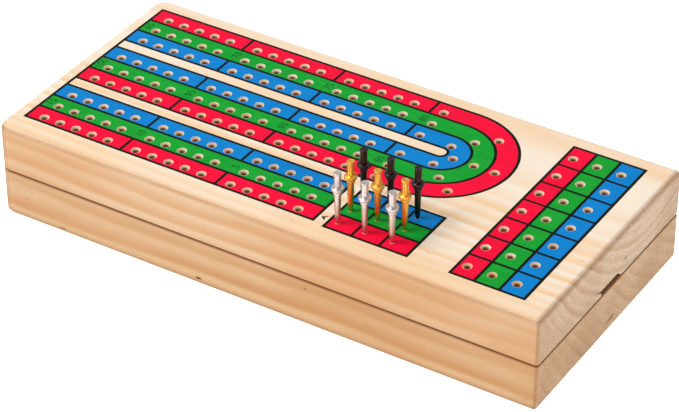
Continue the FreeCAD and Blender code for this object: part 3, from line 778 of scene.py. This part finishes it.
def buildFilm(name, corners, triangles, level, outward, origin):
    # a closed thin sheet: the printed side, its underside and a wall along every outline
    used, flat = np.unique(triangles, return_inverse=True)
    flat = flat.reshape(-1, 3)
    spots = corners[used]
    a, b, c = (spots[flat[:, k]] for k in range(3))
    area = (b - a)[:, 0] * (c - a)[:, 1] - (b - a)[:, 1] * (c - a)[:, 0]
    kept = np.abs(area) > filmCut["leastArea"]
    flat, area = flat[kept], area[kept]
    flip = (area * outward) < 0
    flat[flip] = flat[flip][:, ::-1]
    count = len(spots)
    proud = level + outward * trackPrint["proud"] * mm
    sunk = level - outward * trackPrint["sunk"] * mm
    upper = [(origin + x * mm, y * mm, proud) for x, y in spots]
    under = [(x, y, sunk) for x, y, _ in upper]
    faces = [tuple(face) for face in flat.tolist()]
    faces += [tuple(corner + count for corner in reversed(face)) for face in flat.tolist()]
    edges = {}
    for face in flat.tolist():
        for first, second in zip(face, face[1:] + face[:1]):
            edges[(first, second)] = True
    for first, second in edges:
        if (second, first) not in edges:
            faces.append((second, first, first + count, second + count))
    mesh = bpy.data.meshes.new(name)
    mesh.from_pydata(upper + under, [], faces)
    mesh.update()
    film = bpy.data.objects.new(name, mesh)
    bpy.context.scene.collection.objects.link(film)
    return film


inkShader = {"Specular IOR Level": 0.06}
mouthUneven = 0.02                  # how ragged the ink is round a hole, as a share of its radius
inkMaterials = {
    ink: makeMaterial(ink + "Ink", printedInk, look, inkShader, bumpReach["ink"])
    for ink, look in inkLooks.items()
}

for halfName, marks, side, slotName in (
    ("upper", layOutUpper(), 1, "upper_wood"),
    ("lower", layOutLower(), -1, "lower_wood"),
):
    boardLow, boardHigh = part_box(halfName + "_board")
    level = boardHigh.z if side > 0 else boardLow.z
    holes = []
    for spot, radius in holeMiddles(halfName + "_board", level):
        middle = ((spot.x - boardLow.x) / mm, spot.y / mm)
        holes.append(circle(middle, radius / mm + trackPrint["bareRim"], uneven=mouthUneven))
    corners, triangles, inkOf = cutFilms(marks, holes)
    for index, ink in enumerate(inkOrder):
        inked = triangles[inkOf == index]
        film = buildFilm(f"{halfName}_ink_{ink}", corners, inked, level, side, boardLow.x)
        film.data.materials.append(inkMaterials[ink])
        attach(film, halfName + "_half")
        print(" ", film.name, len(film.data.polygons), "faces")
    print(halfName, "print laid round", len(holes), "holes")


# floor, lights and camera

studio = {
    "floorSize": 4.0,
    "floorCells": 8,
    "floorDrop": 0.00006,           # just below the ink on the underside
    "floorSeen": 1.1,               # how bright the paper looks
    "floorGlow": 0.25,              # how much light it throws on the board
    "skyStrength": 0.62,
    "keyPlace": (-1.5, -1.1, 2.4),
    "keySize": 1.3,
    "keyPower": 71.0,
    "fillPlace": (0.2, -1.6, 0.9),
    "fillSize": 1.2,
    "fillPower": 1.4,
    "rimPlace": (1.9, -0.3, 0.9),
    "rimSize": 1.2,
    "rimPower": 7.0,
}
view = {
    "azimuth": 31.965,
    "elevation": 35.06,
    "roll": -0.08,
    "aim": (0.0079, -0.00746, 0.0204),
    "distance": 1.155,
    "lens": 149.26,
    "sensorWidth": 36.0,
    "nearest": 0.05,
    "farthest": 20.0,
}


def buildFloor():
    reach, cells = studio["floorSize"] / 2, studio["floorCells"]
    low = -studio["floorDrop"]
    points, faces = [], []
    for row in range(cells + 1):
        y = -reach + 2 * reach * row / cells
        for column in range(cells + 1):
            points.append((-reach + 2 * reach * column / cells, y, low))
    for row in range(cells):
        for column in range(cells):
            first = row * (cells + 1) + column
            faces.append((first, first + 1, first + cells + 2, first + cells + 1))
    mesh = bpy.data.meshes.new("studioFloor")
    mesh.from_pydata(points, [], faces)
    floor = bpy.data.objects.new("studioFloor", mesh)
    bpy.context.scene.collection.objects.link(floor)
    material = bpy.data.materials.new("paperSweep")
    material.use_nodes = True
    tree = material.node_tree
    shader = tree.nodes["Principled BSDF"]
    fibres = noise(tree, place(tree), (0.02, 0.02, 0.02), 2.0).outputs["Fac"]
    paper = mixColor(tree, fibres, (0.90, 0.90, 0.90, 1), (0.94, 0.94, 0.94, 1))
    plug(tree, paper, shader.inputs["Base Color"])
    plug(tree, paper, shader.inputs["Emission Color"])
    seen = addNode(tree, "LightPath").outputs["Is Camera Ray"]
    plug(tree, remap(tree, seen, 0, 1, studio["floorGlow"], studio["floorSeen"], smooth=False),
         shader.inputs["Emission Strength"])
    shader.inputs["Roughness"].default_value = 0.8
    shader.inputs["Specular IOR Level"].default_value = 0.1
    mesh.materials.append(material)


def addLamp(name, spot, size, power):
    lamp = bpy.data.lights.new(name, "AREA")
    lamp.shape = "SQUARE"
    lamp.size = size
    lamp.energy = power
    holder = bpy.data.objects.new(name, lamp)
    holder.location = spot
    holder.rotation_euler = (-Vector(spot)).to_track_quat("-Z", "Y").to_euler()
    bpy.context.scene.collection.objects.link(holder)


def buildSky():
    world = bpy.data.worlds.new("softRoom")
    bpy.context.scene.world = world
    world.use_nodes = True
    tree = world.node_tree
    back = tree.nodes["Background"]
    way = addNode(tree, "TexCoord").outputs["Generated"]
    spread = addNode(tree, "SeparateXYZ", {0: way}).outputs
    # darker to the right, which gives the metal something to show
    shade = remap(tree, spread["X"], -0.4, 0.9, 1.0, 0.55)
    color = mixColor(tree, shade, (0.25, 0.25, 0.26, 1), (1, 1, 1, 1))
    plug(tree, color, back.inputs["Color"])
    back.inputs["Strength"].default_value = studio["skyStrength"]


def buildCamera():
    camera = bpy.data.cameras.new("productCamera")
    camera.lens = view["lens"]
    camera.sensor_width = view["sensorWidth"]
    camera.clip_start, camera.clip_end = view["nearest"], view["farthest"]
    holder = bpy.data.objects.new("productCamera", camera)
    turn, rise = math.radians(view["azimuth"]), math.radians(view["elevation"])
    level = math.cos(rise)
    back = Vector((math.sin(turn) * level, -math.cos(turn) * level, math.sin(rise)))
    holder.location = Vector(view["aim"]) + back * view["distance"]
    holder.rotation_euler = (-back).to_track_quat("-Z", "Y").to_euler()
    holder.rotation_euler.rotate_axis("Z", math.radians(view["roll"]))
    bpy.context.scene.collection.objects.link(holder)
    bpy.context.scene.camera = holder


buildFloor()
buildSky()
for lamp in ("key", "fill", "rim"):
    addLamp(lamp + "Lamp", studio[lamp + "Place"], studio[lamp + "Size"], studio[lamp + "Power"])
buildCamera()
bpy.context.scene.view_settings.view_transform = "Standard"
print("studio ready")
